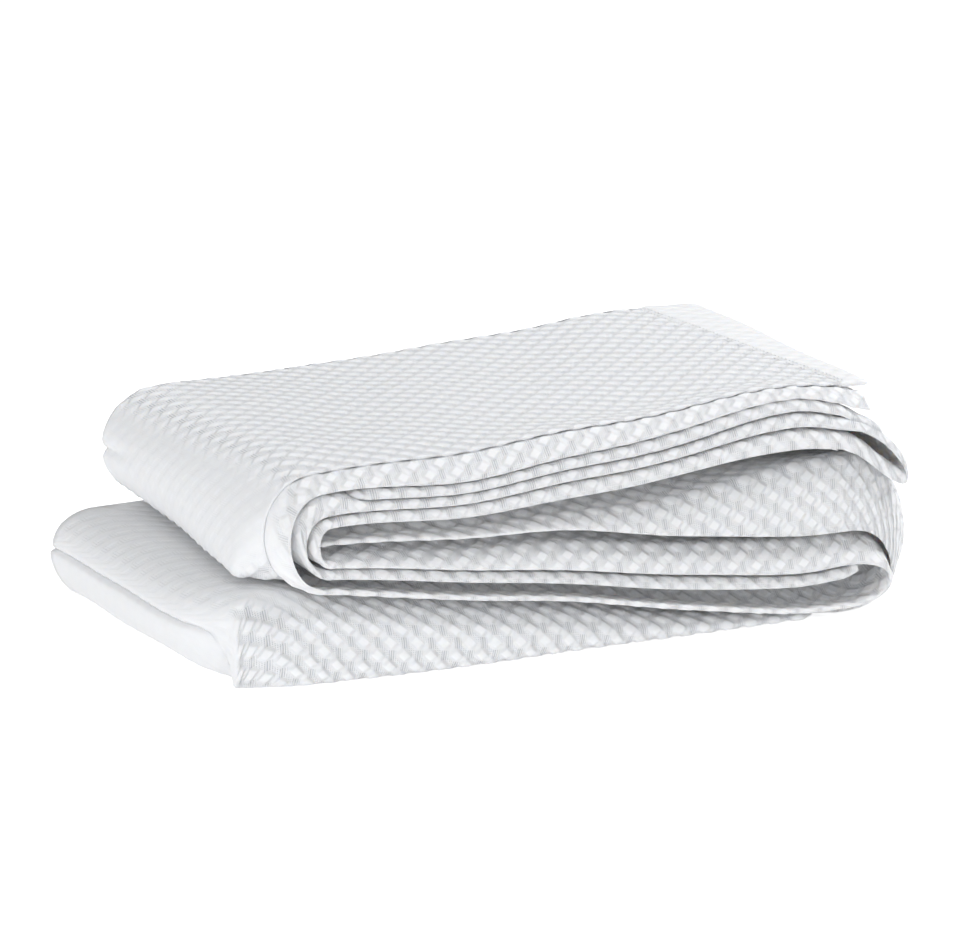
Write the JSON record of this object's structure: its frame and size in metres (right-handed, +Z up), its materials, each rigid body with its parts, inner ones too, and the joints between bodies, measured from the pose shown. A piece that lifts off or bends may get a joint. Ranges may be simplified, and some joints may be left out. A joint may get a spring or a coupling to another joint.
{
  "type": "folded matelasse coverlet",
  "caption": "White quilted-weave cotton coverlet, folded back and forth into a low stack with soft rolled folds at both ends, lying flat on its base.",
  "frame": {"origin": "under the middle of the folded stack, on the surface it lies on", "axes": "+X along the stack, from the end with the rolled folds to the end with the hemmed edge; +Y from the front edges of the folds to the back; +Z up"},
  "size_m": [0.5208, 0.2896, 0.1611],
  "materials": {
    "white cotton": "matte woven cotton with a raised pattern"
  },
  "bodies": {
    "root": {"coverlet": "white cotton"}
  },
  "joints": []
}
